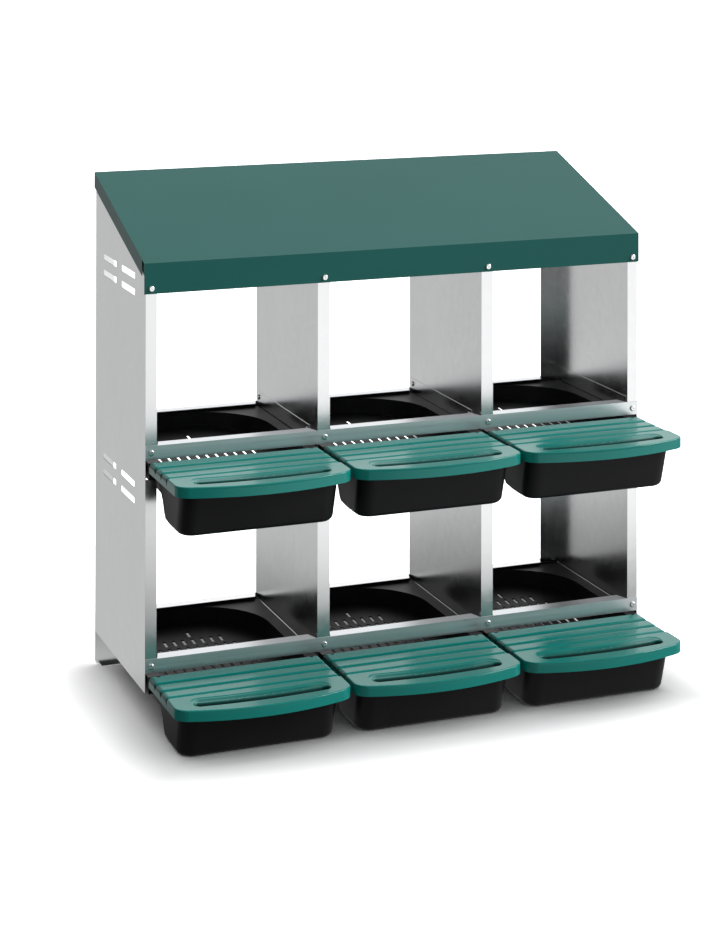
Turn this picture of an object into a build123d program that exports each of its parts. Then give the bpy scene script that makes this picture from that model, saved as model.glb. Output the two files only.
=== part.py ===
from build123d import *
import math
import os

# Roll-away nesting box: two tiers of three nests in a folded-sheet frame.
# Units are millimetres. While modelling, x = 0 is the middle of the width, y = 0 is the front face of the posts
# (+Y runs to the back) and z = 0 is the floor. The finished parts are moved so that the origin is the middle
# of the whole footprint, on the floor.

# ---- driving dimensions ----
WIDTH = 930.0            # over the side panels
DEPTH = 335.0            # posts' front face to the back face of the rear flanges
SHEET = 1.0              # sheet-metal thickness
NEST_PITCH = 310.5       # nest centre to nest centre
TIER_Z = {"lower": 105.0, "upper": 463.0}      # height of each tier's rail screws
NEST_X = {"left": -NEST_PITCH, "middle": 0.0, "right": NEST_PITCH}

PANEL_BOTTOM = 60.5      # lower edge of panels and partitions
POST_FLANGE = 20.0       # front flange of a side panel
DIVIDER_FLANGE = 22.5    # front and rear flange of a partition
REAR_FLANGE = 34.0       # rear flange of a side panel
DIVIDER_X = {"left": -156.5, "right": 153.5}   # middle of each partition's sheet

ROOF_FRONT_TOP = 782.0
ROOF_BACK_TOP = 895.0
FASCIA_BOTTOM = 730.0
ROOF_OVERHANG = 2.5      # past the side panels and the back
ROOF_SIDE_DROP = 28.0    # height of the roof's side and rear flanges
ROOF_SIDE_START = 16.0   # the side flanges stop this far behind the fascia

RAIL_UP = 12.0           # rail's top edge above the tier's screws
RAIL_DOWN = 11.5         # rail's bottom edge below them
RAIL_LIP = 24.0          # depth of the lips folded into each nest
LIP_MITRE = 8.0          # the lip's ends are cut back this far at its free edge
REAR_RAIL_TOP = -9.0     # rear rail's top edge from the tier's screws
REAR_RAIL_HEIGHT = 24.0
REAR_LIP = 22.0
BASE_RADIUS = 9.0        # rounded lower corners of the base plate
BASE_FOOT = 16.0         # base plate's return flange on the floor

VENT_SIZE = (86.5, 10.5)
VENT_Y = (112.0, 234.0)
VENT_Z = (366.0, 394.0, 722.0, 750.0)

PLASTIC = 2.5            # wall of the moulded trays and lids
TRAY_HALF = 151.0
TRAY_FRONT = -10.0       # front end of the tray's flat deck
TRAY_BACK = 324.0
DECK_TOP = -15.0         # heights of a tray are from its tier's screws
DECK_SKIRT = -43.0
BASIN_HALF = 129.0       # inner half-width of the nest basin
BASIN_CENTRE = 186.0     # centre of the basin's round back
FLOOR_BACK = -43.0       # basin floor at the basin's back
FLOOR_FRONT = -61.0      # basin floor at the posts
TROUGH_TOP = -28.5
TROUGH_DROP = 105.0      # depth of the trough's underside below the tier's screws
TROUGH_TOP_HALF = 137.0
TROUGH_BOTTOM_HALF = 135.5
TROUGH_TOP_FRONT = -166.0
TROUGH_BOTTOM_FRONT = -143.0
TROUGH_CORNER = 28.0
TROUGH_FILLET = 11.0
TROUGH_BACK = -50.0
TROUGH_BACK_RISE = 9.0   # the underside climbs this much towards the back
SLIT = (6.0, 24.0)
SLIT_PITCH = 17.3
SLIT_ROWS = {262.0: 1, 229.0: 7, 196.0: 9, 148.0: 11, 115.0: 11, 82.0: 9}

LID_HALF = 151.5
LID_BACK = -13.0
LID_TOP = -12.5
LID_SKIRT = -31.5
LID_PANEL = -121.0       # where the humps end and the flat front panel starts
LID_VALLEYS = (-50.0, -84.0, -118.0)    # between the humps, back to front
VALLEY_DEPTH = 6.0
LID_BACK_DIP = 3.0       # how far the back hump rounds down at the lid's open back edge
LID_CREASE = (133.0, -184.0)
LID_BOW = 21.0           # how far the front edge bulges past its corners
LID_CORNER = 26.0
GRIP_HALF = 119.0
GRIP_Y = (-145.0, -170.0)
GRIP_DEPTH = 12.0

PIN_R = 2.5
PIN_FIT = 0.08           # radial running clearance of a lid's hinge
HINGE_Y = -19.0
HINGE_Z = -19.0
HINGE_X = 140.0          # middle of each hinge ear

RUNNER_FOOT = 15.0
RUNNER_Y = (42.0, 328.0)
RUNNER_SCREW_Y = (50.0, 318.0)
RUNNER_SCREW_UP = 2.0

SCREW_R = 2.0
HOLE_R = 2.2
HEAD_R = 5.2
HEAD_H = 2.6
NUT_FLATS = 7.0
NUT_H = 3.2
SCREW_GRIP = 7.0         # shank length under the head
FRONT_SCREW_X = (-455.0, -144.5, 165.5, 455.0)
FASCIA_SCREW_Z = 739.0
REAR_SCREW_X = (-452.0, -144.5, 165.5, 452.0)
REAR_SCREW_DROP = -21.0
WALL_HOLE_X = 452.0
WALL_HOLE_Z = (300.0, 820.0)
WALL_HOLE_R = 2.75

HALF = WIDTH / 2
FRONT_REACH = -(LID_CREASE[1] - LID_BOW)
ROOF_SLOPE = (ROOF_BACK_TOP - ROOF_FRONT_TOP) / (DEPTH + ROOF_OVERHANG + SHEET)
REAR_REACH = SHEET + HEAD_H
Y_SHIFT = (FRONT_REACH - DEPTH - REAR_REACH) / 2

os.makedirs("parts", exist_ok=True)


def write(name, shape):
    shape = shape.moved(Location((0, Y_SHIFT, 0)))
    shape.label = name
    export_step(shape, f"parts/{name}.step")


def block(x, y, z):
    """A box from its low and high limits along each axis."""
    size = (x[1] - x[0], y[1] - y[0], z[1] - z[0])
    return Pos(x[0], y[0], z[0]) * Box(*size, align=(Align.MIN,) * 3)


def rod(centre, axis, radius, length):
    """A cylinder that starts at centre and runs along axis."""
    return extrude(Plane(centre, z_dir=axis) * Circle(radius), length)


def side_plate(points, x0, x1):
    """A flat plate with its (y, z) outline given, between two x positions."""
    outline = Plane.YZ * make_face(Polyline(*points, close=True))
    return extrude(Pos(x0, 0, 0) * outline, x1 - x0)


def roof_under(y):
    """Height of the roof sheet's underside."""
    return ROOF_FRONT_TOP + ROOF_SLOPE * (y + SHEET) - 1.1 * SHEET


# ---- frame ----
def panel(x0, x1, front, rear):
    """A wall between nests: a sheet from x0 to x1 with its front and rear flanges' x limits."""
    top_front = roof_under(0) - 1
    top_back = roof_under(DEPTH) - 1
    outline = [(0, PANEL_BOTTOM), (DEPTH, PANEL_BOTTOM), (DEPTH, top_back), (0, top_front)]
    body = side_plate(outline, x0, x1)
    body += block(front, (0, SHEET), (PANEL_BOTTOM, top_front))
    body += block(rear, (DEPTH - SHEET, DEPTH), (PANEL_BOTTOM, top_back - ROOF_SLOPE * SHEET - 1))
    return body


def notch_flange(body, flange, sheet_x, into):
    """Cuts the front flange where each tray's deck slides through it."""
    cut = (sheet_x, flange[1] + 1) if into > 0 else (flange[0] - 1, sheet_x)
    for z in TIER_Z.values():
        low = max(z + DECK_SKIRT - 1.5, PANEL_BOTTOM - 1)
        body -= block(cut, (-1, SHEET + 1), (low, z - RAIL_DOWN))
    return body


def front_holes(body):
    """Screw holes along the front: both rails and the fascia."""
    for x in FRONT_SCREW_X:
        for z in (*TIER_Z.values(), FASCIA_SCREW_Z):
            body -= rod((x, -5, z), (0, 1, 0), HOLE_R, 10)
    return body


def rear_holes(body):
    """Screw holes of the rear rail and the base plate."""
    for x in REAR_SCREW_X:
        for z in TIER_Z.values():
            body -= rod((x, DEPTH - 5, z + REAR_SCREW_DROP), (0, 1, 0), HOLE_R, 10)
    return body


def side_panel(side):
    outer = side * HALF
    inner = side * (HALF - SHEET)
    x0, x1 = sorted((outer, inner))
    front = tuple(sorted((outer, side * (HALF - POST_FLANGE))))
    rear = tuple(sorted((outer, side * (HALF - REAR_FLANGE))))
    body = panel(x0, x1, front, rear)
    body = notch_flange(body, front, inner, -side)
    for y in VENT_Y:
        for z in VENT_Z:
            body -= Pos(outer, y, z) * Box(4 * SHEET, *VENT_SIZE)
    for z in WALL_HOLE_Z:
        body -= rod((side * WALL_HOLE_X, DEPTH - 5, z), (0, 1, 0), WALL_HOLE_R, 10)
    return rear_holes(front_holes(body))


def partition(x):
    x0, x1 = x - SHEET / 2, x + SHEET / 2
    flange = (x0, x0 + DIVIDER_FLANGE)
    body = panel(x0, x1, flange, flange)
    body = notch_flange(body, flange, x1, 1)
    for y in RUNNER_SCREW_Y:
        body -= rod((x - 5, y, TIER_Z["upper"] + RUNNER_SCREW_UP), (1, 0, 0), HOLE_R, 10)
    return rear_holes(front_holes(body))


def roof():
    half = HALF + ROOF_OVERHANG
    back = DEPTH + ROOF_OVERHANG
    top_front = (-SHEET, ROOF_FRONT_TOP)
    top_back = (back, ROOF_BACK_TOP)
    lower_back = ROOF_BACK_TOP - ROOF_SLOPE * SHEET - 1.1 * SHEET
    profile = [
        top_front,
        top_back,
        (back, ROOF_BACK_TOP - ROOF_SIDE_DROP),
        (back - SHEET, ROOF_BACK_TOP - ROOF_SIDE_DROP),
        (back - SHEET, lower_back),
        (0, roof_under(0)),
        (0, FASCIA_BOTTOM),
        (-SHEET, FASCIA_BOTTOM),
    ]
    body = side_plate(profile, -half, half)
    start = ROOF_SIDE_START - SHEET
    cheek = [
        (start, roof_under(start)),
        (start, ROOF_FRONT_TOP + ROOF_SLOPE * start - ROOF_SIDE_DROP),
        (back, ROOF_BACK_TOP - ROOF_SIDE_DROP),
        (back, ROOF_BACK_TOP - SHEET),
    ]
    for side in (-1, 1):
        x0, x1 = sorted((side * half, side * (half - SHEET)))
        body += side_plate(cheek, x0, x1)
    for x in FRONT_SCREW_X:
        body -= rod((x, -5, FASCIA_SCREW_Z), (0, 1, 0), HOLE_R, 10)
    return body


def bays():
    """Clear x range between the flanges in each nest, left to right."""
    left, right = DIVIDER_X["left"], DIVIDER_X["right"]
    half_sheet = SHEET / 2
    return [
        (-HALF + POST_FLANGE + 1, left - half_sheet - 1),
        (left - half_sheet + DIVIDER_FLANGE + 1, right - half_sheet - 1),
        (right - half_sheet + DIVIDER_FLANGE + 1, HALF - POST_FLANGE - 1),
    ]


def rear_bays():
    first, middle, last = bays()
    shrink = REAR_FLANGE - POST_FLANGE
    return [(first[0] + shrink, first[1]), middle, (last[0], last[1] - shrink)]


def lip(x, y_root, y_edge, z):
    """A rail's flat lip in one nest, narrower at its free edge."""
    points = [(x[0], y_root), (x[1], y_root), (x[1] - LIP_MITRE, y_edge), (x[0] + LIP_MITRE, y_edge)]
    return extrude(Pos(0, 0, z) * make_face(Polyline(*points, close=True)), SHEET)


def front_rail(z):
    body = block((-HALF, HALF), (-SHEET, 0), (z - RAIL_DOWN, z + RAIL_UP))
    for x in bays():
        body += lip(x, -SHEET, RAIL_LIP, z + RAIL_UP - SHEET)
    for x in FRONT_SCREW_X:
        body -= rod((x, -5, z), (0, 1, 0), HOLE_R, 10)
    return body


def rear_rail():
    top = TIER_Z["upper"] + REAR_RAIL_TOP
    body = block((-HALF, HALF), (DEPTH, DEPTH + SHEET), (top - REAR_RAIL_HEIGHT, top))
    for x in rear_bays():
        body += lip(x, DEPTH + SHEET, DEPTH - REAR_LIP, top - SHEET)
    return rear_holes(body)


def base_plate():
    top = TIER_Z["lower"] + REAR_RAIL_TOP
    web = Plane.XZ * Pos(0, top / 2) * Rectangle(WIDTH, top)
    lower = web.vertices().filter_by(lambda v: v.Z < 1)
    web = fillet(lower, BASE_RADIUS)
    body = extrude(Pos(0, DEPTH + SHEET, 0) * web, SHEET)
    for x in rear_bays():
        body += lip(x, DEPTH + SHEET, DEPTH - REAR_LIP, top - SHEET)
    foot = HALF - BASE_RADIUS
    body += block((-foot, foot), (DEPTH + SHEET - BASE_FOOT, DEPTH + SHEET), (0, SHEET))
    return rear_holes(body)


def runner(face_x, into, tier):
    """An angle that carries one edge of a tray. face_x is the wall it is fixed to, into points into the nest."""
    z = TIER_Z[tier]
    low = z + DECK_SKIRT - 1.5
    high = z + (RAIL_UP if tier == "upper" else DECK_TOP - 1)
    leg = tuple(sorted((face_x, face_x + into * SHEET)))
    foot = tuple(sorted((face_x, face_x + into * RUNNER_FOOT)))
    body = block(leg, RUNNER_Y, (low, high)) + block(foot, RUNNER_Y, (low, low + SHEET))
    if tier == "upper" and abs(face_x) < HALF - 2 * SHEET:
        for y in RUNNER_SCREW_Y:
            body -= rod((face_x - 5, y, z + RUNNER_SCREW_UP), (1, 0, 0), HOLE_R, 10)
    return body


def runner_walls():
    """The wall face on each side of each nest."""
    inner = HALF - SHEET
    half_sheet = SHEET / 2
    left, right = DIVIDER_X["left"], DIVIDER_X["right"]
    return {
        "left": (-inner, left - half_sheet),
        "middle": (left + half_sheet, right - half_sheet),
        "right": (right + half_sheet, inner),
    }


# ---- fasteners ----
def screw(grip=SCREW_GRIP):
    """Pan-head cross-recess screw. Its head's underside is at the origin and its shank runs along +Z."""
    head = Pos(0, 0, -HEAD_H / 2) * Cylinder(HEAD_R, HEAD_H)
    head = fillet(head.edges().filter_by(GeomType.CIRCLE).sort_by(Axis.Z)[0], HEAD_H * 0.7)
    cross = Box(5.0, 0.9, 2.4) + Box(0.9, 5.0, 2.4)
    return head - Pos(0, 0, -HEAD_H) * cross + Pos(0, 0, grip / 2) * Cylinder(SCREW_R, grip)


def nut():
    """Hexagon nut on the origin, its height along +Z."""
    radius = NUT_FLATS / math.sqrt(3)
    body = extrude(RegularPolygon(radius, 6), NUT_H)
    return body - Cylinder(SCREW_R + 0.05, 4 * NUT_H)


def group(piece, places):
    """Copies of one fastener, one for each plane."""
    return Compound([place.location * piece for place in places])


def facing(points, direction):
    return [Plane(point, z_dir=direction) for point in points]


def fasteners():
    front_rows = {
        "fascia": FASCIA_SCREW_Z,
        "upper_rail": TIER_Z["upper"],
        "lower_rail": TIER_Z["lower"],
    }
    for name, z in front_rows.items():
        heads = [(x, -SHEET, z) for x in FRONT_SCREW_X]
        nuts = [(x, SHEET, z) for x in FRONT_SCREW_X]
        write(f"{name}_screws", group(screw(), facing(heads, (0, 1, 0))))
        write(f"{name}_nuts", group(nut(), facing(nuts, (0, 1, 0))))
    rear_rows = {
        "rear_rail": TIER_Z["upper"] + REAR_SCREW_DROP,
        "base_plate": TIER_Z["lower"] + REAR_SCREW_DROP,
    }
    for name, z in rear_rows.items():
        heads = [(x, DEPTH + SHEET, z) for x in REAR_SCREW_X]
        nuts = [(x, DEPTH - SHEET, z) for x in REAR_SCREW_X]
        write(f"{name}_screws", group(screw(), facing(heads, (0, -1, 0))))
        write(f"{name}_nuts", group(nut(), facing(nuts, (0, -1, 0))))
    z = TIER_Z["upper"] + RUNNER_SCREW_UP
    reach = 1.5 * SHEET
    heads = [(x - reach, y, z) for x in DIVIDER_X.values() for y in RUNNER_SCREW_Y]
    nuts = [(x + reach, y, z) for x in DIVIDER_X.values() for y in RUNNER_SCREW_Y]
    write("runner_screws", group(screw(), facing(heads, (1, 0, 0))))
    write("runner_nuts", group(nut(), facing(nuts, (1, 0, 0))))


# ---- trays ----
def floor_z(y):
    """Height of the basin floor's top face at a depth y, from the tier's screws."""
    return FLOOR_FRONT + (FLOOR_BACK - FLOOR_FRONT) * y / (BASIN_CENTRE + BASIN_HALF)


def basin_plan(half):
    """The basin seen from above: straight sides and a round back."""
    front = TROUGH_BACK - 5
    straight = Pos(0, (front + BASIN_CENTRE) / 2) * Rectangle(2 * half, BASIN_CENTRE - front)
    return straight + Pos(0, BASIN_CENTRE) * Circle(half)


def basin(half, drop, top):
    """The basin as a solid between its sloping floor, lowered by drop, and a level top."""
    back = BASIN_CENTRE + half
    outline = [
        (TROUGH_BACK, floor_z(TROUGH_BACK) - drop),
        (back, floor_z(back) - drop),
        (back, top),
        (TROUGH_BACK, top),
    ]
    return extrude(Pos(0, 0, -150) * basin_plan(half), 200) & side_plate(outline, -half, half)


def trough_plan(half, front):
    """A level section of the trough, with rounded front corners."""
    back = 60.0
    plan = Pos(0, (front + back) / 2) * Rectangle(2 * half, back - front)
    corners = plan.vertices().filter_by(lambda v: v.Y < 0)
    return fillet(corners, TROUGH_CORNER - (TROUGH_TOP_HALF - half))


def trough(wall):
    """The egg trough as a solid, drawn in by the wall thickness."""
    bottom = wall - TROUGH_DROP
    top_plan = Pos(0, 0, TROUGH_TOP) * trough_plan(TROUGH_TOP_HALF - wall, TROUGH_TOP_FRONT + wall)
    low_plan = Pos(0, 0, bottom) * trough_plan(TROUGH_BOTTOM_HALF - wall, TROUGH_BOTTOM_FRONT + wall)
    body = loft([low_plan, top_plan])
    body = fillet(body.faces().sort_by(Axis.Z)[0].edges(), TROUGH_FILLET - wall)
    back = TROUGH_BACK - wall
    step = [
        (-200, TROUGH_TOP + 1),
        (TRAY_FRONT + 2 - wall, TROUGH_TOP + 1),
        (TRAY_FRONT - 8 - wall, DECK_SKIRT),
        (back + 9, -70),
        (back, -89),
        (back - 6, bottom + TROUGH_BACK_RISE),
        (back - 56, bottom),
        (back - 56, bottom - 1),
        (-200, bottom - 1),
    ]
    return body & side_plate(step, -200, 200)


def slits():
    """Drain slits, every row centred, cut through the basin floor."""
    tool = None
    for y, count in SLIT_ROWS.items():
        for i in range(count):
            x = (i - (count - 1) / 2) * SLIT_PITCH
            cut = Pos(x, y, floor_z(y)) * Box(*SLIT, 20)
            tool = cut if tool is None else tool + cut
    return tool


def hinge_ears():
    """Two upright ears at the deck's front, each with a stub pin that points outwards."""
    ears = None
    for side in (-1, 1):
        x0, x1 = sorted((side * (HINGE_X - 2), side * (HINGE_X - 6)))
        ear = block((x0, x1), (TRAY_FRONT - 8, TRAY_FRONT), (TROUGH_TOP - 1, HINGE_Z + 1))
        ear += rod((x0, HINGE_Y, HINGE_Z), (1, 0, 0), PIN_R + 1, x1 - x0)
        start = (side * (HINGE_X - 2), HINGE_Y, HINGE_Z)
        ear += rod(start, (side, 0, 0), PIN_R, 7)
        ears = ear if ears is None else ears + ear
    return ears


def tray():
    """One nest floor and egg trough, moulded in one piece. z = 0 is its tier's screw height."""
    w = PLASTIC
    deck = block((-TRAY_HALF, TRAY_HALF), (TRAY_FRONT, TRAY_BACK), (DECK_SKIRT, DECK_TOP))
    inner = block((w - TRAY_HALF, TRAY_HALF - w), (TRAY_FRONT + w, TRAY_BACK - w), (DECK_SKIRT - 1, DECK_TOP - w))
    body = deck - inner
    body += block((-TRAY_HALF, TRAY_HALF), (TRAY_BACK - w, TRAY_BACK), (DECK_TOP, DECK_TOP + 2))
    body += basin(BASIN_HALF + w, w, DECK_TOP)
    body += trough(0)
    body -= basin(BASIN_HALF, 0, DECK_TOP + 5)
    body -= trough(w)
    body -= slits()
    body -= block((-TRAY_HALF, TRAY_HALF), (TROUGH_BACK - 10, TRAY_FRONT), (TROUGH_TOP, 0))
    return body + hinge_ears()


# ---- lids ----
def lid_plan(inset, back):
    """The lid seen from above: square at the back, rounded front corners and a bowed front edge."""
    half = LID_HALF - inset
    x, y = LID_CREASE[0] - inset * 0.7, LID_CREASE[1] + inset
    turn = y + LID_CORNER - 4
    bend = math.sqrt(0.5)
    left_mid = (-half + (half - x) * (1 - bend), turn - (turn - y) * bend)
    right_mid = (-left_mid[0], left_mid[1])
    edges = [
        Line((half, back), (-half, back)),
        Line((-half, back), (-half, turn)),
        ThreePointArc((-half, turn), left_mid, (-x, y)),
        ThreePointArc((-x, y), (0, y - LID_BOW), (x, y)),
        ThreePointArc((x, y), right_mid, (half, turn)),
        Line((half, turn), (half, back)),
    ]
    return make_face(edges)


def lid_profile(drop, floor, back):
    """Side view of the lid's top face, with three humps, closed by a level floor and an upright back."""
    top = LID_TOP - drop
    low = top - VALLEY_DEPTH
    edges = [Line((-230, floor), (-230, top)), Line((-230, top), (LID_PANEL, top))]
    dips = [(LID_BACK, top - LID_BACK_DIP)] + [(y, low) for y in LID_VALLEYS]
    edges.append(Line((LID_PANEL, top), dips[-1]))
    for rear, front in zip(dips, dips[1:]):
        edges.append(ThreePointArc(front, ((front[0] + rear[0]) / 2, top), rear))
    if back > LID_BACK:
        edges.append(Line(dips[0], (back, dips[0][1])))
    edges.append(Line((back, dips[0][1]), (back, floor)))
    edges.append(Line((back, floor), (-230, floor)))
    return make_face(edges)


def grip_plan(grow):
    """The long finger slot: a straight back edge, a bowed front edge and round ends."""
    half = GRIP_HALF + grow
    back, front = GRIP_Y[0] + grow, GRIP_Y[1] - grow
    middle = (back + front) / 2
    radius = (back - front) / 2
    edges = [
        Line((half - radius, back), (radius - half, back)),
        ThreePointArc((radius - half, back), (-half, middle), (radius - half, front)),
        ThreePointArc((radius - half, front), (0, front - 5), (half - radius, front)),
        ThreePointArc((half - radius, front), (half, middle), (half - radius, back)),
    ]
    return make_face(edges)


def lid():
    """One trough lid, moulded in one piece. z = 0 is its tier's screw height."""
    w = PLASTIC
    shell = extrude(Pos(0, 0, LID_SKIRT) * lid_plan(0, LID_BACK), 40)
    shell &= extrude(Plane.YZ * Pos(0, 0, -200) * lid_profile(0, LID_SKIRT, LID_BACK), 400)
    open_back = LID_BACK + 5
    hollow = extrude(Pos(0, 0, LID_SKIRT - 5) * lid_plan(w, open_back), 40)
    hollow &= extrude(Plane.YZ * Pos(0, 0, -200) * lid_profile(w, LID_SKIRT - 5, open_back), 400)
    body = shell - hollow
    cup_low = LID_TOP - GRIP_DEPTH - w
    body += extrude(Pos(0, 0, cup_low) * grip_plan(w), GRIP_DEPTH + w)
    body -= extrude(Pos(0, 0, cup_low + w) * grip_plan(0), GRIP_DEPTH + 1)
    return body


def clear_hinge(body):
    """Clears the lid's back corners and adds the two eyes that turn on the tray's pins."""
    for side in (-1, 1):
        gap = sorted((side * (HINGE_X - 8), side * (HINGE_X + 8)))
        body -= block(gap, (LID_BACK - 14, LID_BACK + 1), (LID_SKIRT - 1, LID_TOP + 1))
        x0, x1 = sorted((side * (HINGE_X - 0.5), side * (HINGE_X + 4)))
        eye = rod((x0, HINGE_Y, HINGE_Z), (1, 0, 0), PIN_R + 2, x1 - x0)
        eye += block((x0, x1), (HINGE_Y - 16, HINGE_Y), (HINGE_Z, LID_TOP - 1))
        eye -= rod((x0 - 1, HINGE_Y, HINGE_Z), (1, 0, 0), PIN_R + PIN_FIT, x1 - x0 + 2)
        body += eye
    return body


write("side_panel_left", side_panel(-1))
write("side_panel_right", side_panel(1))
for side_name, divider_x in DIVIDER_X.items():
    write(f"partition_{side_name}", partition(divider_x))
write("roof", roof())
write("front_rail_upper", front_rail(TIER_Z["upper"]))
write("front_rail_lower", front_rail(TIER_Z["lower"]))
write("rear_rail", rear_rail())
write("base_plate", base_plate())
for tier_name in TIER_Z:
    for nest_name, (left_face, right_face) in runner_walls().items():
        write(f"runner_{tier_name}_{nest_name}_l", runner(left_face, 1, tier_name))
        write(f"runner_{tier_name}_{nest_name}_r", runner(right_face, -1, tier_name))
fasteners()

one_tray = tray()
one_lid = clear_hinge(lid())
for tier_name, tier_z in TIER_Z.items():
    for nest_name, nest_x in NEST_X.items():
        place = Location((nest_x, 0, tier_z))
        write(f"nest_tray_{tier_name}_{nest_name}", one_tray.moved(place))
        write(f"lid_{tier_name}_{nest_name}", one_lid.moved(place))
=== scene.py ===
import math
import bpy
import numpy as np
from mathutils import Matrix, Vector


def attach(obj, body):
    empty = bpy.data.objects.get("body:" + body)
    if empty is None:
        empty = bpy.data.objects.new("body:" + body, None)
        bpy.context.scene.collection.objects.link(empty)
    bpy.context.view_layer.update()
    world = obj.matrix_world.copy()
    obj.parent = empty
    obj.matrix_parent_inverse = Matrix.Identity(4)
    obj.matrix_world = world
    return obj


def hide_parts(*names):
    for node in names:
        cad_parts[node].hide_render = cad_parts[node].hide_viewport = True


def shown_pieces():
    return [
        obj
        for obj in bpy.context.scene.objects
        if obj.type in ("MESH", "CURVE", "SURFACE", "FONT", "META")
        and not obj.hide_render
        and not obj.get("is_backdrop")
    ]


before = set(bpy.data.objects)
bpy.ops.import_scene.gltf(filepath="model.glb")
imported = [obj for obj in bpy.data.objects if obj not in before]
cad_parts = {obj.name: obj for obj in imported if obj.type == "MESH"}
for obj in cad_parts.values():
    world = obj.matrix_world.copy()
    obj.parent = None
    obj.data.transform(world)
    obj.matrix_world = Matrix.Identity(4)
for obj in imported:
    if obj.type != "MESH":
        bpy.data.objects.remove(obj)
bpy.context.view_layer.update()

# ---- sizes in metres, in the row frame; a tier's heights are from its rail screws ----
FRONT_Y = -0.0668        # front face of the posts
NEST_X = {"left": -0.3105, "middle": 0.0, "right": 0.3105}
TIER_Z = {"lower": 0.105, "upper": 0.463}

LID_HALF = 0.1515
LID_BACK = -0.013
LID_TOP = -0.0125
LID_SKIRT = -0.0302
LID_VALLEYS = (-0.050, -0.084, -0.118)
LID_PANEL = -0.121
LID_TURN = -0.162        # where the straight sides end
LID_CREASE = (0.133, -0.184)
LID_BOW = 0.021
LID_WALL = 0.0024
VALLEY_DEPTH = 0.0066
HUMP_END = 0.007         # radius of the humps' rounded ends
EDGE_ROUND = 0.0020
GRIP_HALF = 0.120        # finger grip: a gentle slope from its back edge, then a deep slot
GRIP_BACK = -0.127       # these three are measured at the lid's sides; the middle bows forward
GRIP_SLOT = -0.144
GRIP_FRONT = -0.167
GRIP_BOW = 0.56          # share of the front's bow
GRIP_SLOPE = 0.0024
GRIP_DEPTH = 0.0125
HINGE = (0.140, -0.019, -0.019)
NOTCH = (0.133, 0.1392, 0.0072)   # clears the tray's hinge ear: x limits and depth from the back edge
EYE_R = 0.0045
PIN_HOLE_R = 0.00262


# ---- small helpers for node materials ----
class Nodes:
    """Builds one procedural material."""

    def __init__(self, name):
        self.material = bpy.data.materials.new(name)
        self.material.use_nodes = True
        self.tree = self.material.node_tree
        self.tree.nodes.clear()
        self.out = self.add("ShaderNodeOutputMaterial")
        self.bsdf = self.add("ShaderNodeBsdfPrincipled")
        self.link(self.bsdf.outputs[0], self.out.inputs["Surface"])
        self.position = self.add("ShaderNodeTexCoord").outputs["Object"]

    def add(self, kind, **values):
        node = self.tree.nodes.new(kind)
        for key, value in values.items():
            setattr(node, key, value)
        return node

    def link(self, a, b):
        self.tree.links.new(a, b)

    def feed(self, socket, value):
        if isinstance(value, bpy.types.NodeSocket):
            self.link(value, socket)
        else:
            socket.default_value = value

    def stretched(self, scale):
        mapping = self.add("ShaderNodeMapping")
        mapping.inputs["Scale"].default_value = scale
        self.link(self.position, mapping.inputs["Vector"])
        return mapping.outputs[0]

    def noise(self, scale, detail=3.0, stretch=None):
        node = self.add("ShaderNodeTexNoise")
        node.inputs["Scale"].default_value = scale
        node.inputs["Detail"].default_value = detail
        node.inputs["Roughness"].default_value = 0.55
        self.link(self.stretched(stretch) if stretch else self.position, node.inputs["Vector"])
        return node.outputs["Fac"]

    def cells(self, scale):
        node = self.add("ShaderNodeTexVoronoi")
        node.inputs["Scale"].default_value = scale
        self.link(self.position, node.inputs["Vector"])
        split = self.add("ShaderNodeSeparateColor")
        self.link(node.outputs["Color"], split.inputs[0])
        return split.outputs[0]

    def parts(self, vector):
        """The x, y and z of a vector."""
        node = self.add("ShaderNodeSeparateXYZ")
        self.link(vector, node.inputs[0])
        return node.outputs[0], node.outputs[1], node.outputs[2]

    def math(self, operation, a, b=0.0):
        node = self.add("ShaderNodeMath", operation=operation)
        self.feed(node.inputs[0], a)
        self.feed(node.inputs[1], b)
        return node.outputs[0]

    def spread(self, value, low, high, start=0.3, end=0.7, kind="LINEAR"):
        """A value's range from start to end laid over low to high."""
        node = self.add("ShaderNodeMapRange", interpolation_type=kind)
        node.inputs["From Min"].default_value = start
        node.inputs["From Max"].default_value = end
        node.inputs["To Min"].default_value = low
        node.inputs["To Max"].default_value = high
        self.link(value, node.inputs["Value"])
        return node.outputs[0]

    def ramp(self, value, start, end, low, high):
        """A smooth step of a value from low at start to high at end."""
        return self.spread(value, low, high, start, end, "SMOOTHSTEP")

    def blend(self, fac, a, b):
        """Plain number mix of a and b."""
        node = self.add("ShaderNodeMix", data_type="FLOAT")
        self.feed(node.inputs[0], fac)
        self.feed(node.inputs[2], a)
        self.feed(node.inputs[3], b)
        return node.outputs[0]

    def tint(self, fac, a, b):
        node = self.add("ShaderNodeMix", data_type="RGBA")
        self.feed(node.inputs[0], fac)
        node.inputs[6].default_value = (*a, 1)
        node.inputs[7].default_value = (*b, 1)
        return node.outputs[2]

    def dimmed(self, color, factor):
        """The colour times a factor."""
        node = self.add("ShaderNodeVectorMath", operation="SCALE")
        self.link(color, node.inputs[0])
        self.feed(node.inputs["Scale"], factor)
        return node.outputs[0]

    def bump(self, height, strength, distance):
        node = self.add("ShaderNodeBump")
        node.inputs["Strength"].default_value = strength
        node.inputs["Distance"].default_value = distance
        self.link(height, node.inputs["Height"])
        return node.outputs[0]

    def finish(self, color, rough, metallic, normal, specular=0.5):
        self.feed(self.bsdf.inputs["Base Color"], color)
        self.feed(self.bsdf.inputs["Roughness"], rough)
        self.feed(self.bsdf.inputs["Metallic"], metallic)
        self.feed(self.bsdf.inputs["Specular IOR Level"], specular)
        self.link(normal, self.bsdf.inputs["Normal"])
        return self.material


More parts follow.
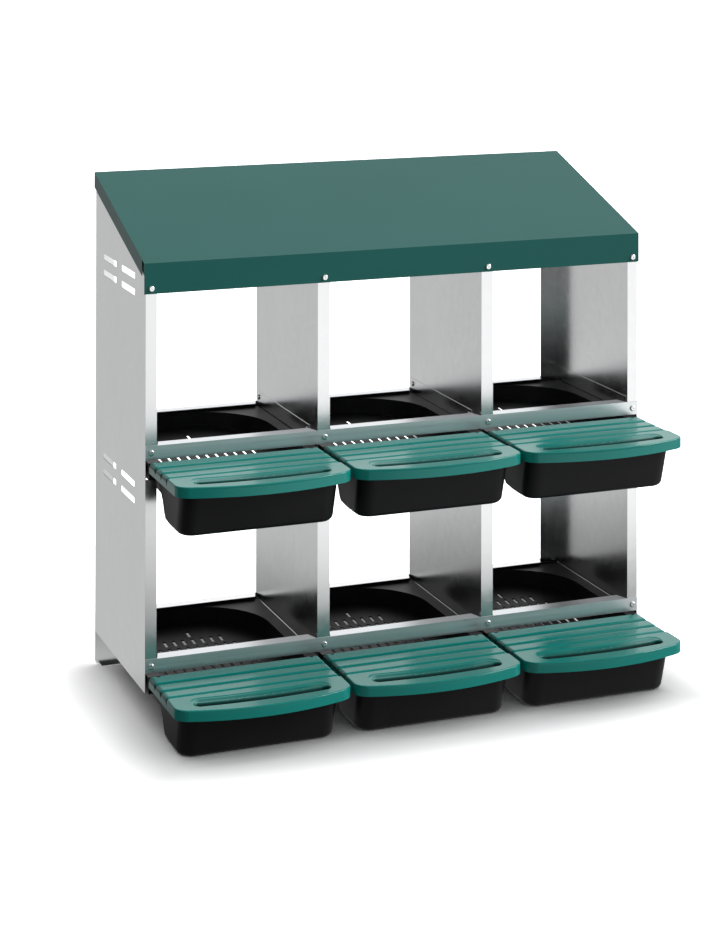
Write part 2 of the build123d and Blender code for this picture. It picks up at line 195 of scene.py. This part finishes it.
def galvanised_steel():
    n = Nodes("galvanised_steel")
    spangle = n.cells(70.0)
    cloud = n.noise(5.0, 2.0)
    grain = n.noise(900.0, 2.0, stretch=(1.0, 1.0, 0.05))
    tone = n.math("ADD", n.math("MULTIPLY", spangle, 0.25), n.math("MULTIPLY", cloud, 0.75))
    color = n.tint(n.spread(tone, 0.0, 1.0), (0.76, 0.765, 0.77), (0.81, 0.815, 0.82))
    rough = n.math("ADD", n.spread(spangle, 0.21, 0.24, 0.0, 1.0), n.spread(cloud, -0.015, 0.015))
    normal = n.bump(grain, 0.03, 0.0002)
    return n.finish(color, rough, 1.0, normal)


def rail_steel():
    n = Nodes("rail_steel")
    streak = n.noise(30.0, 3.0, stretch=(0.08, 8.0, 8.0))
    fine = n.noise(700.0, 2.0, stretch=(0.02, 1.0, 1.0))
    color = n.tint(n.spread(streak, 0.0, 1.0), (0.74, 0.77, 0.79), (0.80, 0.82, 0.84))
    rough = n.spread(streak, 0.30, 0.38)
    normal = n.bump(fine, 0.04, 0.0002)
    return n.finish(color, rough, 1.0, normal)


def roof_paint():
    n = Nodes("roof_paint")
    cloud = n.noise(3.0, 2.0)
    peel = n.noise(520.0, 2.0)
    fleck = n.noise(1400.0, 1.0)
    color = n.tint(n.spread(cloud, 0.0, 1.0), (0.005, 0.113, 0.099), (0.007, 0.122, 0.107))
    rough = n.spread(fleck, 0.36, 0.44)
    normal = n.bump(peel, 0.08, 0.0002)
    return n.finish(color, rough, 0.0, normal, specular=0.28)


def lid_plastic():
    n = Nodes("lid_plastic")
    cloud = n.noise(9.0, 3.0)
    sheen = n.noise(60.0, 2.0)
    grain = n.noise(1500.0, 2.0)
    color = n.tint(n.spread(cloud, 0.0, 1.0), (0.003, 0.245, 0.210), (0.004, 0.265, 0.228))
    height = n.parts(n.position)[2]
    upward = n.parts(n.add("ShaderNodeTexCoord").outputs["Normal"])[2]
    # Painted shade: up-facing surfaces below the lid's top, in the valleys between the humps and in the
    # grip, are darkened by up to 88 per cent where shadow falls. The same mask makes them a little rougher.
    shade_by_depth = n.spread(height, 0.88, 0.0, LID_TOP - 0.0052, LID_TOP - 0.0008)
    painted_hollow_shade = n.math("MULTIPLY", shade_by_depth, n.spread(upward, 0.0, 1.0, 0.05, 0.20))
    color = n.dimmed(color, n.math("SUBTRACT", 1.0, painted_hollow_shade))
    rough = n.math("ADD", n.spread(sheen, 0.17, 0.21), n.math("MULTIPLY", painted_hollow_shade, 0.25))
    normal = n.bump(grain, 0.02, 0.0001)
    return n.finish(color, rough, 0.0, normal, specular=0.34)


def tray_plastic():
    n = Nodes("tray_plastic")
    cloud = n.noise(12.0, 3.0)
    grain = n.noise(1100.0, 3.0)
    color = n.tint(n.spread(cloud, 0.0, 1.0), (0.0080, 0.0080, 0.0088), (0.0125, 0.0125, 0.0132))
    rough = n.spread(cloud, 0.42, 0.48)
    normal = n.bump(grain, 0.05, 0.0001)
    return n.finish(color, rough, 0.0, normal, specular=0.20)


def zinc_fastener():
    n = Nodes("zinc_fastener")
    cloud = n.noise(300.0, 2.0)
    color = n.tint(n.spread(cloud, 0.0, 1.0), (0.80, 0.81, 0.82), (0.90, 0.90, 0.90))
    rough = n.spread(cloud, 0.16, 0.24)
    normal = n.bump(n.noise(900.0), 0.05, 0.0001)
    return n.finish(color, rough, 1.0, normal)


MATERIALS = {
    "galvanised_steel": galvanised_steel(),
    "rail_steel": rail_steel(),
    "roof_paint": roof_paint(),
    "lid_plastic": lid_plastic(),
    "tray_plastic": tray_plastic(),
    "zinc_fastener": zinc_fastener(),
}


def slot_of(node):
    """The material of a CAD node, by its name."""
    if node.endswith(("_screws", "_nuts")):
        return "zinc_fastener"
    if node.startswith("nest_tray"):
        return "tray_plastic"
    if node.startswith("lid_"):
        return "lid_plastic"
    if node == "roof":
        return "roof_paint"
    if node.startswith(("front_rail", "rear_rail")):
        return "rail_steel"
    return "galvanised_steel"


def flat_shading():
    """Node group that drops the imported normals, so that bevelled sheet shades cleanly."""
    group = bpy.data.node_groups.new("flat_shading", "GeometryNodeTree")
    group.interface.new_socket("Geometry", in_out="INPUT", socket_type="NodeSocketGeometry")
    group.interface.new_socket("Geometry", in_out="OUTPUT", socket_type="NodeSocketGeometry")
    start = group.nodes.new("NodeGroupInput")
    end = group.nodes.new("NodeGroupOutput")
    drop = group.nodes.new("GeometryNodeRemoveAttribute")
    drop.inputs["Name"].default_value = "custom_normal"
    flat = group.nodes.new("GeometryNodeSetShadeSmooth")
    flat.inputs["Shade Smooth"].default_value = False
    group.links.new(start.outputs[0], drop.inputs[0])
    group.links.new(drop.outputs[0], flat.inputs[0])
    group.links.new(flat.outputs[0], end.inputs[0])
    return group


FLAT = flat_shading()


def soften(obj, width):
    """Rounds the edges of a CAD sheet part."""
    weld = obj.modifiers.new("weld", "WELD")
    weld.merge_threshold = 0.00002
    planar = obj.modifiers.new("planar", "DECIMATE")
    planar.decimate_type = "DISSOLVE"
    planar.angle_limit = math.radians(0.3)
    bevel = obj.modifiers.new("bevel", "BEVEL")
    bevel.width = width
    bevel.segments = 3
    bevel.limit_method = "ANGLE"
    bevel.angle_limit = math.radians(40)
    shading = obj.modifiers.new("shading", "NODES")
    shading.node_group = FLAT


BEVELS = {"galvanised_steel": 0.0004, "rail_steel": 0.0004, "roof_paint": 0.0009}
for name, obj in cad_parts.items():
    slot = slot_of(name)
    obj.data.materials.clear()
    obj.data.materials.append(MATERIALS[slot])
    if slot in BEVELS and not name.startswith("runner"):
        soften(obj, BEVELS[slot])


# ---- lids ----
def side_curve():
    """The lid's side seen from above, back to front: (half width, y, share of the front's bow)."""
    rows = [(LID_HALF, y) for y in row_positions()]
    x0, y0 = LID_HALF, LID_TURN
    x1, y1 = LID_CREASE
    steps = 30
    turn = math.radians(58)
    for i in range(1, steps + 1):
        angle = i / steps * turn
        dx = (1 - math.cos(angle)) / (1 - math.cos(turn))
        dy = math.sin(angle) / math.sin(turn)
        rows.append((x0 + (x1 - x0) * dx, y0 + (y1 - y0) * dy))
    bow_y = [y1, GRIP_FRONT - 0.002, GRIP_BACK + 0.0005, LID_PANEL]
    return [(x, y, np.interp(y, bow_y, [1.0, GRIP_BOW, GRIP_BOW, 0.0])) for x, y in rows]


def row_positions():
    """y of the straight rows, closer together in the valleys and along the grip."""
    stops = [(LID_BACK, 0.0012), (LID_BACK - NOTCH[2], 0.0013)]
    for valley in LID_VALLEYS[:-1]:
        stops += [(valley + 0.006, 0.0005), (valley - 0.006, 0.0013)]
    stops += [(LID_VALLEYS[-1] + 0.006, 0.0005), (LID_PANEL - 0.001, 0.0006)]
    stops += [(GRIP_BACK + 0.001, 0.0004), (GRIP_BACK - 0.003, 0.0012), (GRIP_SLOT + 0.001, 0.0004)]
    stops += [(GRIP_SLOT - 0.004, 0.0012), (LID_TURN, 0)]
    values = []
    for (a, step), (b, _) in zip(stops, stops[1:]):
        count = max(2, math.ceil(abs(b - a) / step))
        values += [a + (b - a) * i / count for i in range(count)]
    return values + [LID_TURN]


def column_positions():
    """x shares across the lid, closer together at its ends."""
    stops = [0.0, 0.096, GRIP_HALF + 0.001, NOTCH[0], NOTCH[1], 0.143, LID_HALF]
    steps = [0.004, 0.0008, 0.002, 0.0015, 0.001, 0.0005]
    half = []
    for a, b, step in zip(stops, stops[1:], steps):
        count = max(1, math.ceil((b - a) / step))
        half += [a + (b - a) * i / count for i in range(count)]
    half.append(LID_HALF)
    return np.array([-x for x in reversed(half[1:])] + half) / LID_HALF


def quarter(distance, radius):
    """How far a rounded edge of this radius has dropped at a distance inside the edge."""
    inside = np.clip(radius - distance, 0.0, radius)
    return radius - np.sqrt(np.maximum(radius**2 - inside**2, 0.0))


def smooth(value, low, high):
    """A smooth step from 0 at low to 1 at high."""
    t = np.clip((value - low) / (high - low), 0.0, 1.0)
    return t * t * (3 - 2 * t)


def lid_height(x, y, edge, side):
    """Height of the lid's top face.

    edge is the distance to the outline, and side is the y at which the point's row meets the lid's side.
    """
    stops = (LID_BACK + 0.012,) + LID_VALLEYS
    z = np.zeros_like(x)
    for rear, front in zip(stops, stops[1:]):
        t = (y - front) / (rear - front)
        here = (t >= 0) & (t < 1)
        z = np.where(here, -VALLEY_DEPTH * np.abs(2 * t - 1) ** 8, z)
    last = LID_VALLEYS[-1]
    rise = (side < last) & (side > LID_PANEL)
    z = np.where(rise, -VALLEY_DEPTH * (side - LID_PANEL) / (last - LID_PANEL), z)
    z -= quarter(LID_BACK + 0.0005 - y, 0.004) * (y > LID_BACK - 0.006)
    radius = EDGE_ROUND + (HUMP_END - EDGE_ROUND) * smooth(side, LID_PANEL - 0.004, LID_PANEL + 0.002)
    z -= quarter(LID_HALF - np.abs(x), radius) * (side > LID_PANEL - 0.004)
    z -= quarter(edge, EDGE_ROUND) * (side <= LID_PANEL - 0.004)
    return z - grip_depth(x, side)


def stadium(x, side, back, front, half):
    """Distance inside a slot with round ends. side runs along the rows, so the slot follows their bow."""
    radius = (back - front) / 2
    past = np.maximum(np.abs(x) - (half - radius), 0.0)
    return radius - np.hypot(side - (back + front) / 2, past)


def grip_depth(x, side):
    """Depth of the finger grip: a round lip, a gentle slope, then a slot with steep walls."""
    whole = stadium(x, side, GRIP_BACK, GRIP_FRONT, GRIP_HALF)
    slot = stadium(x, side, GRIP_SLOT, GRIP_FRONT, GRIP_HALF - 0.0015)
    slope = GRIP_SLOPE * (0.35 * smooth(whole, 0.0, 0.0016) + 0.65 * smooth(whole, 0.001, 0.016))
    return slope + (GRIP_DEPTH - slope) * smooth(slot, 0.0, 0.0030)


def outline_distance(x, y, outline):
    """Distance of each point to the outline's polyline."""
    best = np.full(x.shape, 1.0)
    for (ax, ay), (bx, by) in zip(outline, outline[1:]):
        dx, dy = bx - ax, by - ay
        t = np.clip(((x - ax) * dx + (y - ay) * dy) / (dx * dx + dy * dy), 0, 1)
        best = np.minimum(best, np.hypot(x - ax - t * dx, y - ay - t * dy))
    return best


def ring(centre_x, length, outer, inner, verts, faces, count=28):
    """A short tube along X around the hinge axis."""
    base = len(verts)
    for x in (centre_x - length / 2, centre_x + length / 2):
        for radius in (outer, inner):
            for i in range(count):
                a = 2 * math.pi * i / count
                verts.append((x, HINGE[1] + radius * math.cos(a), HINGE[2] + radius * math.sin(a)))
    for i in range(count):
        j = (i + 1) % count
        o0, i0, o1, i1 = base, base + count, base + 2 * count, base + 3 * count
        faces.append((o0 + i, o1 + i, o1 + j, o0 + j))
        faces.append((i0 + i, i0 + j, i1 + j, i1 + i))
        faces.append((o0 + i, o0 + j, i0 + j, i0 + i))
        faces.append((o1 + i, i1 + i, i1 + j, o1 + j))


def plate(low, high, verts, faces):
    """A rectangular web between two corners."""
    base = len(verts)
    for x in (low[0], high[0]):
        for y in (low[1], high[1]):
            for z in (low[2], high[2]):
                verts.append((x, y, z))
    for quad in ((0, 1, 3, 2), (4, 6, 7, 5), (0, 4, 5, 1), (2, 3, 7, 6), (0, 2, 6, 4), (1, 5, 7, 3)):
        faces.append(tuple(base + i for i in quad))


def lid_shell():
    """The lid's outer skin: humps, panel and grip as a height field, then the skirt round three sides."""
    rows = side_curve()
    u = column_positions()
    half = np.array([r[0] for r in rows])[:, None]
    side = np.array([r[1] for r in rows])[:, None]
    share = np.array([r[2] for r in rows])[:, None]
    x = half * u[None, :]
    y = side - share * LID_BOW * (1 - u[None, :] ** 2)
    left = list(zip(x[:, 0], y[:, 0]))
    outline = left + list(zip(x[-1, 1:], y[-1, 1:])) + list(zip(x[::-1, -1], y[::-1, -1]))[1:]
    edge = outline_distance(x, y, outline)
    z = LID_TOP + lid_height(x, y, edge, np.broadcast_to(side, x.shape))
    count_y, count_x = x.shape
    verts = list(zip(x.ravel(), y.ravel(), z.ravel()))
    faces = []
    for i in range(count_y - 1):
        for j in range(count_x - 1):
            mx = abs(x[i, j] + x[i, j + 1]) / 2
            my = (y[i, j] + y[i + 1, j]) / 2
            if NOTCH[0] < mx < NOTCH[1] and my > LID_BACK - NOTCH[2]:
                continue
            a = i * count_x + j
            faces.append((a, a + count_x, a + count_x + 1, a + 1))
    rim = [i * count_x for i in range(count_y)]
    rim += [(count_y - 1) * count_x + j for j in range(1, count_x)]
    rim += [i * count_x + count_x - 1 for i in reversed(range(count_y - 1))]
    previous = rim
    levels = 5
    for level in range(1, levels + 1):
        current = []
        for k in rim:
            vx, vy, vz = verts[k]
            current.append(len(verts))
            verts.append((vx, vy, vz + (LID_SKIRT - vz) * level / levels))
        for k in range(len(rim) - 1):
            faces.append((previous[k], current[k], current[k + 1], previous[k + 1]))
        previous = current
    return verts, faces


def hinge_eyes():
    """An eye round each hinge pin, with a web up to the lid's underside."""
    verts, faces = [], []
    for side in (-1, 1):
        centre = side * (HINGE[0] + 0.00175)
        ring(centre, 0.0045, EYE_R, PIN_HOLE_R, verts, faces)
        low = (centre - 0.00225, HINGE[1] - 0.016, HINGE[2] - 0.001)
        high = (centre + 0.00225, HINGE[1] - 0.0032, LID_TOP - 0.001)
        plate(low, high, verts, faces)
    return verts, faces


def mesh_from(name, verts, faces, material):
    """A mesh that is smooth except where it bends sharply."""
    mesh = bpy.data.meshes.new(name)
    mesh.from_pydata([tuple(map(float, v)) for v in verts], [], faces)
    mesh.validate()
    mesh.update()
    mesh.materials.append(material)
    mesh.shade_smooth()
    mesh.set_sharp_from_angle(angle=math.radians(35))
    return mesh


def solid_copy(obj):
    """The object's mesh with its modifiers applied."""
    graph = bpy.context.evaluated_depsgraph_get()
    return bpy.data.meshes.new_from_object(obj.evaluated_get(graph), depsgraph=graph)


def lid_mesh():
    """The skin thickened to a wall, with the hinge eyes, as one mesh."""
    verts, faces = lid_shell()
    skin = bpy.data.objects.new("lid_skin", mesh_from("lid_skin", verts, faces, MATERIALS["lid_plastic"]))
    bpy.context.scene.collection.objects.link(skin)
    thick = skin.modifiers.new("wall", "SOLIDIFY")
    thick.thickness = LID_WALL
    thick.offset = -1
    bpy.context.view_layer.update()
    walls = solid_copy(skin)
    bpy.data.objects.remove(skin)
    verts = [tuple(v.co) for v in walls.vertices]
    faces = [tuple(p.vertices) for p in walls.polygons]
    eye_verts, eye_faces = hinge_eyes()
    base = len(verts)
    verts += eye_verts
    faces += [tuple(base + i for i in f) for f in eye_faces]
    return mesh_from("trough_lid", verts, faces, MATERIALS["lid_plastic"])


shared_lid = lid_mesh()
for tier, z in TIER_Z.items():
    for nest, x in NEST_X.items():
        key = f"{tier}_{nest}"
        obj = bpy.data.objects.new(f"trough_lid_{key}", shared_lid)
        bpy.context.scene.collection.objects.link(obj)
        obj.location = (x, FRONT_Y, z)
        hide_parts(f"lid_{key}")
        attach(obj, f"lid_{key}")


# ---- floor, light and camera ----
def floor_reflection_glow(n, x, y):
    """Painted reflection: how brightly the floor glows in reflections, bright to the right and behind, dark
    at the front left, and dimmer close to the object in front and behind as painted shadow.
    """
    # Painted shadow: the glow is dimmer close in front of the object.
    away = n.ramp(y, -0.35, -0.95, 0.35, 1.0)
    front = n.math("MULTIPLY", n.ramp(x, -1.1, 0.5, 0.12, 1.25), away)
    # Painted shadow: the glow is dimmer close behind the object.
    centre = n.ramp(y, 0.4, 1.7, 0.30, 1.0)
    rear = n.blend(n.ramp(x, -0.25, -0.50, 0.0, 1.0), centre, 0.61)
    return n.blend(n.ramp(y, -0.15, 0.25, 0.0, 1.0), front, rear)


def past_edge(n, value, half):
    """How far a coordinate lies outside plus or minus half, below 0 inside."""
    return n.math("SUBTRACT", n.math("ABSOLUTE", value), half)


def camera_gain_with_painted_shadow(n, x, y):
    """Brightness of the floor to the camera: white away from the object, with painted shadow near it so
    that its shadow stays close; the floor is darker near the object's footprint and darker still under it.
    """
    past_x = n.math("MAXIMUM", past_edge(n, x, 0.47), 0.0)
    past_y = n.math("MAXIMUM", past_edge(n, y, 0.25), 0.0)
    square = n.math("ADD", n.math("POWER", past_x, 2.0), n.math("POWER", past_y, 2.0))
    painted_shadow_falloff = n.ramp(n.math("POWER", square, 0.5), -0.03, 0.18, 1.9, 4.2)
    # Painted shadow under the object: inside the footprint the gain drops to 0.6 of its value.
    depth = n.math("MAXIMUM", past_edge(n, x, 0.46), past_edge(n, y, 0.24))
    return n.math("MULTIPLY", painted_shadow_falloff, n.ramp(depth, -0.05, 0.0, 0.6, 1.0))


def floor():
    """A wide white floor. Reflections see it as a glow, a painted reflection that stands in for studio
    cards.
    """
    mesh = bpy.data.meshes.new("floor")
    corners = [(-1, -1), (1, -1), (1, 1), (-1, 1)]
    mesh.from_pydata([(FLOOR_HALF * a, FLOOR_HALF * b, 0) for a, b in corners], [], [(0, 1, 2, 3)])
    n = Nodes("studio_floor")
    x, y, _ = n.parts(n.position)
    path = n.add("ShaderNodeLightPath")
    white = n.add("ShaderNodeBsdfDiffuse")
    tone = n.blend(path.outputs["Is Camera Ray"], 0.35, camera_gain_with_painted_shadow(n, x, y))
    n.link(tone, white.inputs["Color"])
    # Reflected rays see this painted glow instead of the lit floor.
    glow = n.add("ShaderNodeEmission")
    n.link(floor_reflection_glow(n, x, y), glow.inputs["Strength"])
    mix = n.add("ShaderNodeMixShader")
    n.link(path.outputs["Is Glossy Ray"], mix.inputs[0])
    n.link(white.outputs[0], mix.inputs[1])
    n.link(glow.outputs[0], mix.inputs[2])
    n.link(mix.outputs[0], n.out.inputs["Surface"])
    mesh.materials.append(n.material)
    obj = bpy.data.objects.new("floor", mesh)
    bpy.context.scene.collection.objects.link(obj)
    obj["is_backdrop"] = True


class WorldNodes(Nodes):
    """The same helpers on a world's node tree."""

    def __init__(self, world):
        world.use_nodes = True
        self.tree = world.node_tree
        self.tree.nodes.clear()
        self.out = self.add("ShaderNodeOutputWorld")
        self.position = self.add("ShaderNodeTexCoord").outputs["Generated"]

    def toward(self, direction):
        """Cosine of the angle to a direction."""
        node = self.add("ShaderNodeVectorMath", operation="DOT_PRODUCT")
        node.inputs[1].default_value = Vector(direction).normalized()
        self.link(self.position, node.inputs[0])
        return node.outputs["Value"]


def studio_world():
    """White to the camera. To everything else a soft room: bright above, to the right and low behind."""
    world = bpy.data.worlds.new("studio")
    bpy.context.scene.world = world
    n = WorldNodes(world)
    soft = n.ramp(n.toward((0.55, -0.05, 0.80)), -0.35, 0.95, 0.12, 0.85)
    path = n.add("ShaderNodeLightPath")
    behind = n.ramp(n.toward((0.30, 0.95, 0.05)), 0.55, 0.97, 0.0, 0.95)
    shiny = n.math("ADD", soft, n.math("MULTIPLY", behind, path.outputs["Is Glossy Ray"]))
    room = n.add("ShaderNodeBackground")
    n.link(shiny, room.inputs["Strength"])
    seen = n.add("ShaderNodeBackground")
    seen.inputs["Strength"].default_value = 1.3
    mix = n.add("ShaderNodeMixShader")
    n.link(path.outputs["Is Camera Ray"], mix.inputs[0])
    n.link(room.outputs[0], mix.inputs[1])
    n.link(seen.outputs[0], mix.inputs[2])
    n.link(mix.outputs[0], n.out.inputs[0])


def sun(name, direction, strength, angle):
    """A wide, even light from a direction."""
    light = bpy.data.lights.new(name, "SUN")
    light.energy = strength
    light.angle = math.radians(angle)
    obj = bpy.data.objects.new(name, light)
    bpy.context.scene.collection.objects.link(obj)
    obj.rotation_euler = Vector(direction).to_track_quat("Z", "Y").to_euler()
    return obj


def only_on_object(light):
    """The light leaves the floor alone, so that the object's shadow stays soft and close to it."""
    lit = bpy.data.collections.new("lit")
    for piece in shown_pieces():
        lit.objects.link(piece)
    light.light_linking.receiver_collection = lit


FLOOR_HALF = 60.0
CAMERA = Vector((-1.4767, -3.6810, 1.4188))
YAW, PITCH, ROLL = math.radians(21.0593), -0.00464, 0.001565
LENS = 86.215
SHIFT = (0.0028, -0.6353)


def shift_near(data, path, camera, value):
    """The lens shift belongs to the main view only: it fades out when the camera stands anywhere else."""
    curve = data.driver_add(path)
    for modifier in list(curve.modifiers):
        curve.modifiers.remove(modifier)
    curve.driver.type = "AVERAGE"
    variable = curve.driver.variables.new()
    variable.type = "TRANSFORMS"
    variable.targets[0].id = camera
    variable.targets[0].transform_type = "LOC_X"
    variable.targets[0].transform_space = "WORLD_SPACE"
    x = camera.location.x
    points = [(x - 0.05, 0.0), (x - 0.02, value), (x + 0.02, value), (x + 0.05, 0.0)]
    curve.keyframe_points.add(len(points))
    for key, point in zip(curve.keyframe_points, points):
        key.co = point
        key.interpolation = "LINEAR"
    curve.extrapolation = "CONSTANT"
    curve.update()


def camera():
    """A shift lens that keeps the uprights parallel."""
    data = bpy.data.cameras.new("camera")
    obj = bpy.data.objects.new("camera", data)
    bpy.context.scene.collection.objects.link(obj)
    data.sensor_width = 36.0
    data.lens = LENS
    data.clip_end = 200.0
    ahead = Vector((math.sin(YAW) * math.cos(PITCH), math.cos(YAW) * math.cos(PITCH), -math.sin(PITCH)))
    level = Vector((math.cos(YAW), -math.sin(YAW), 0))
    up = level.cross(ahead)
    right = math.cos(ROLL) * level + math.sin(ROLL) * up
    top = -math.sin(ROLL) * level + math.cos(ROLL) * up
    turn = Matrix((right, top, -ahead)).transposed()
    obj.matrix_world = Matrix.Translation(CAMERA) @ turn.to_4x4()
    bpy.context.scene.camera = obj
    bpy.context.view_layer.update()
    shift_near(data, "shift_x", obj, SHIFT[0])
    shift_near(data, "shift_y", obj, SHIFT[1])


floor()
studio_world()
only_on_object(sun("key", (0.85, -0.40, 0.50), 2.4, 28))
camera()
bpy.context.scene.view_settings.view_transform = "Standard"
bpy.context.scene.view_settings.look = "None"
